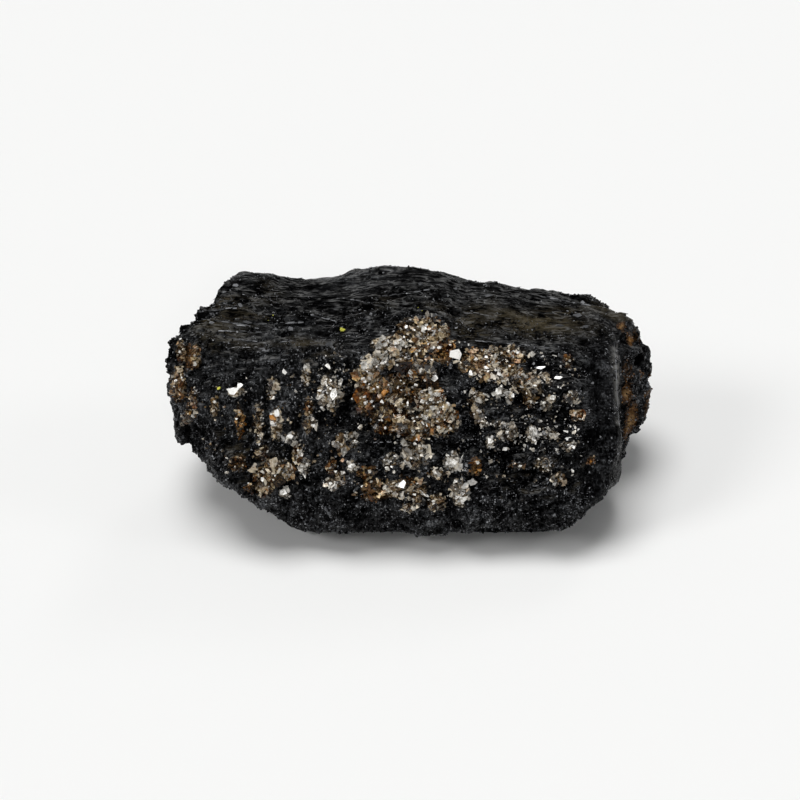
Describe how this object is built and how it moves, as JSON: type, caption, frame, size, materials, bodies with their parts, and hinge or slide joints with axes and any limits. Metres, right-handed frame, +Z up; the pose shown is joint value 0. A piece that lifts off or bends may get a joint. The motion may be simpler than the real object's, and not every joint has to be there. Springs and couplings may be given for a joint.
{
  "type": "black tourmaline",
  "caption": "Rough chunk of black tourmaline with mica grown into its front and rust-brown stains, resting on a small flat.",
  "frame": {"origin": "in the plane of the small flat that the stone rests on, under the middle of its box", "axes": "+X along the stone to the viewer's right, -Y out of the front that holds the mica, +Z up"},
  "size_m": [0.0642, 0.0336, 0.0289],
  "materials": {
    "tourmaline": "rough black, silky along the striations",
    "mica": "pearly flakes, silver grey to amber",
    "iron_stain": "matt rust-brown crust"
  },
  "bodies": {
    "root": {"tourmaline": "tourmaline"}
  },
  "joints": []
}
